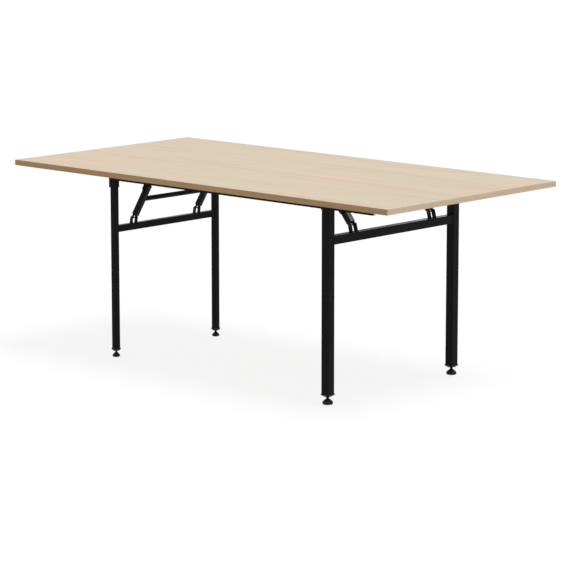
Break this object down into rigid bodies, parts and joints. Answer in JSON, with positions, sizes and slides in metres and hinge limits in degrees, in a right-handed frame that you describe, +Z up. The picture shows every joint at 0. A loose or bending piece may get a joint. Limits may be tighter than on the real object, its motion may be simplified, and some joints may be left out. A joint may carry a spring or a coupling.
{
  "type": "folding table",
  "caption": "Rectangular oak-look folding table on black steel tube leg frames that fold flat under the board on knee braces, with levelling feet.",
  "frame": {"origin": "on the floor, under the centre of the board", "axes": "+X along the board toward the wide leg frame, +Y across it toward the back, +Z up"},
  "size_m": [1.8, 0.9, 0.72],
  "materials": {
    "oak_board": "light oak decor laminate, satin",
    "oak_edge": "light oak edge banding, satin",
    "black_steel": "black powder coat, semi-matt",
    "zinc_steel": "zinc plated",
    "black_plastic": "moulded black plastic"
  },
  "bodies": {
    "top": {"brace_bracket_a_back": "black_steel", "brace_bracket_a_front": "black_steel", "brace_bracket_b_back": "black_steel", "brace_bracket_b_front": "black_steel", "brace_screws": "zinc_steel", "bracket_screws": "zinc_steel", "edge_band_back": "oak_edge", "edge_band_front": "oak_edge", "edge_band_left": "oak_edge", "edge_band_right": "oak_edge", "hinge_bolt_a_back": "zinc_steel", "hinge_bolt_a_front": "zinc_steel", "hinge_bolt_b_back": "zinc_steel", "hinge_bolt_b_front": "zinc_steel", "hinge_bracket_a_back": "black_steel", "hinge_bracket_a_front": "black_steel", "hinge_bracket_b_back": "black_steel", "hinge_bracket_b_front": "black_steel", "hinge_nuts": "zinc_steel", "link_rivets": "zinc_steel", "rail_screws": "zinc_steel", "side_rail_back": "black_steel", "side_rail_front": "black_steel", "table_top": "oak_board"},
    "frame_a": {"brace_lugs_a_back": "black_steel", "brace_lugs_a_front": "black_steel", "crossbar_a": "black_steel", "hinge_bushes_a": "zinc_steel", "leg_a_back": "black_steel", "leg_a_front": "black_steel", "leg_plug_a_back": "black_plastic", "leg_plug_a_front": "black_plastic", "strut_pins_a": "black_steel"},
    "brace_a": {"handle_bar_a": "black_steel", "handle_gussets_a": "black_steel", "knee_rivets_a": "zinc_steel", "strut_a_back": "black_steel", "strut_a_front": "black_steel"},
    "link_a_front": {"brace_link_a_front": "black_steel"},
    "foot_a_front": {"levelling_foot_a_front": "black_plastic"},
    "link_a_back": {"brace_link_a_back": "black_steel"},
    "foot_a_back": {"levelling_foot_a_back": "black_plastic"},
    "frame_b": {"brace_lugs_b_back": "black_steel", "brace_lugs_b_front": "black_steel", "crossbar_b": "black_steel", "hinge_bushes_b": "zinc_steel", "leg_b_back": "black_steel", "leg_b_front": "black_steel", "leg_plug_b_back": "black_plastic", "leg_plug_b_front": "black_plastic", "strut_pins_b": "black_steel"},
    "brace_b": {"handle_bar_b": "black_steel", "knee_rivets_b": "zinc_steel", "strut_b_back": "black_steel", "strut_b_front": "black_steel"},
    "link_b_front": {"brace_link_b_front": "black_steel"},
    "foot_b_front": {"levelling_foot_b_front": "black_plastic"},
    "link_b_back": {"brace_link_b_back": "black_steel"},
    "foot_b_back": {"levelling_foot_b_back": "black_plastic"}
  },
  "joints": [
    {"name": "fold_a", "type": "hinge", "parent": "top", "child": "frame_a", "pos_m": [-0.57, 0, 0.68], "axis": [0, -1, 0], "range_deg": [0, 90]},
    {"name": "strut_a", "type": "hinge", "parent": "frame_a", "child": "brace_a", "pos_m": [-0.57, 0, 0.5075], "axis": [0, -1, 0], "range_deg": [0, 31.62]},
    {"name": "link_a_front", "type": "hinge", "parent": "top", "child": "link_a_front", "pos_m": [-0.464, -0.1788, 0.68], "axis": [0, 1, 0], "range_deg": [0, 58.48]},
    {"name": "foot_a_front_screw", "type": "slide", "parent": "frame_a", "child": "foot_a_front", "axis": [0, 0, -1], "range_m": [-0.004, 0.01]},
    {"name": "link_a_back", "type": "hinge", "parent": "top", "child": "link_a_back", "pos_m": [-0.464, 0.1788, 0.68], "axis": [0, 1, 0], "range_deg": [0, 58.48]},
    {"name": "foot_a_back_screw", "type": "slide", "parent": "frame_a", "child": "foot_a_back", "axis": [0, 0, -1], "range_m": [-0.004, 0.01]},
    {"name": "fold_b", "type": "hinge", "parent": "top", "child": "frame_b", "pos_m": [0.537, 0, 0.68], "axis": [0, 1, 0], "range_deg": [0, 90]},
    {"name": "strut_b", "type": "hinge", "parent": "frame_b", "child": "brace_b", "pos_m": [0.537, 0, 0.603], "axis": [0, 1, 0], "range_deg": [0, 38.89]},
    {"name": "link_b_front", "type": "hinge", "parent": "top", "child": "link_b_front", "pos_m": [0.475, -0.2228, 0.68], "axis": [0, -1, 0], "range_deg": [0, 51.21]},
    {"name": "foot_b_front_screw", "type": "slide", "parent": "frame_b", "child": "foot_b_front", "axis": [0, 0, -1], "range_m": [-0.004, 0.01]},
    {"name": "link_b_back", "type": "hinge", "parent": "top", "child": "link_b_back", "pos_m": [0.475, 0.2228, 0.68], "axis": [0, -1, 0], "range_deg": [0, 51.21]},
    {"name": "foot_b_back_screw", "type": "slide", "parent": "frame_b", "child": "foot_b_back", "axis": [0, 0, -1], "range_m": [-0.004, 0.01]}
  ],
  "couplings": [
    {"joint": "strut_a", "follows": "fold_a", "ratio": 0.35078},
    {"joint": "link_a_front", "follows": "fold_a", "ratio": 0.64922},
    {"joint": "link_a_back", "follows": "fold_a", "ratio": 0.64922},
    {"joint": "strut_b", "follows": "fold_b", "ratio": 0.43156},
    {"joint": "link_b_front", "follows": "fold_b", "ratio": 0.56844},
    {"joint": "link_b_back", "follows": "fold_b", "ratio": 0.56844}
  ]
}
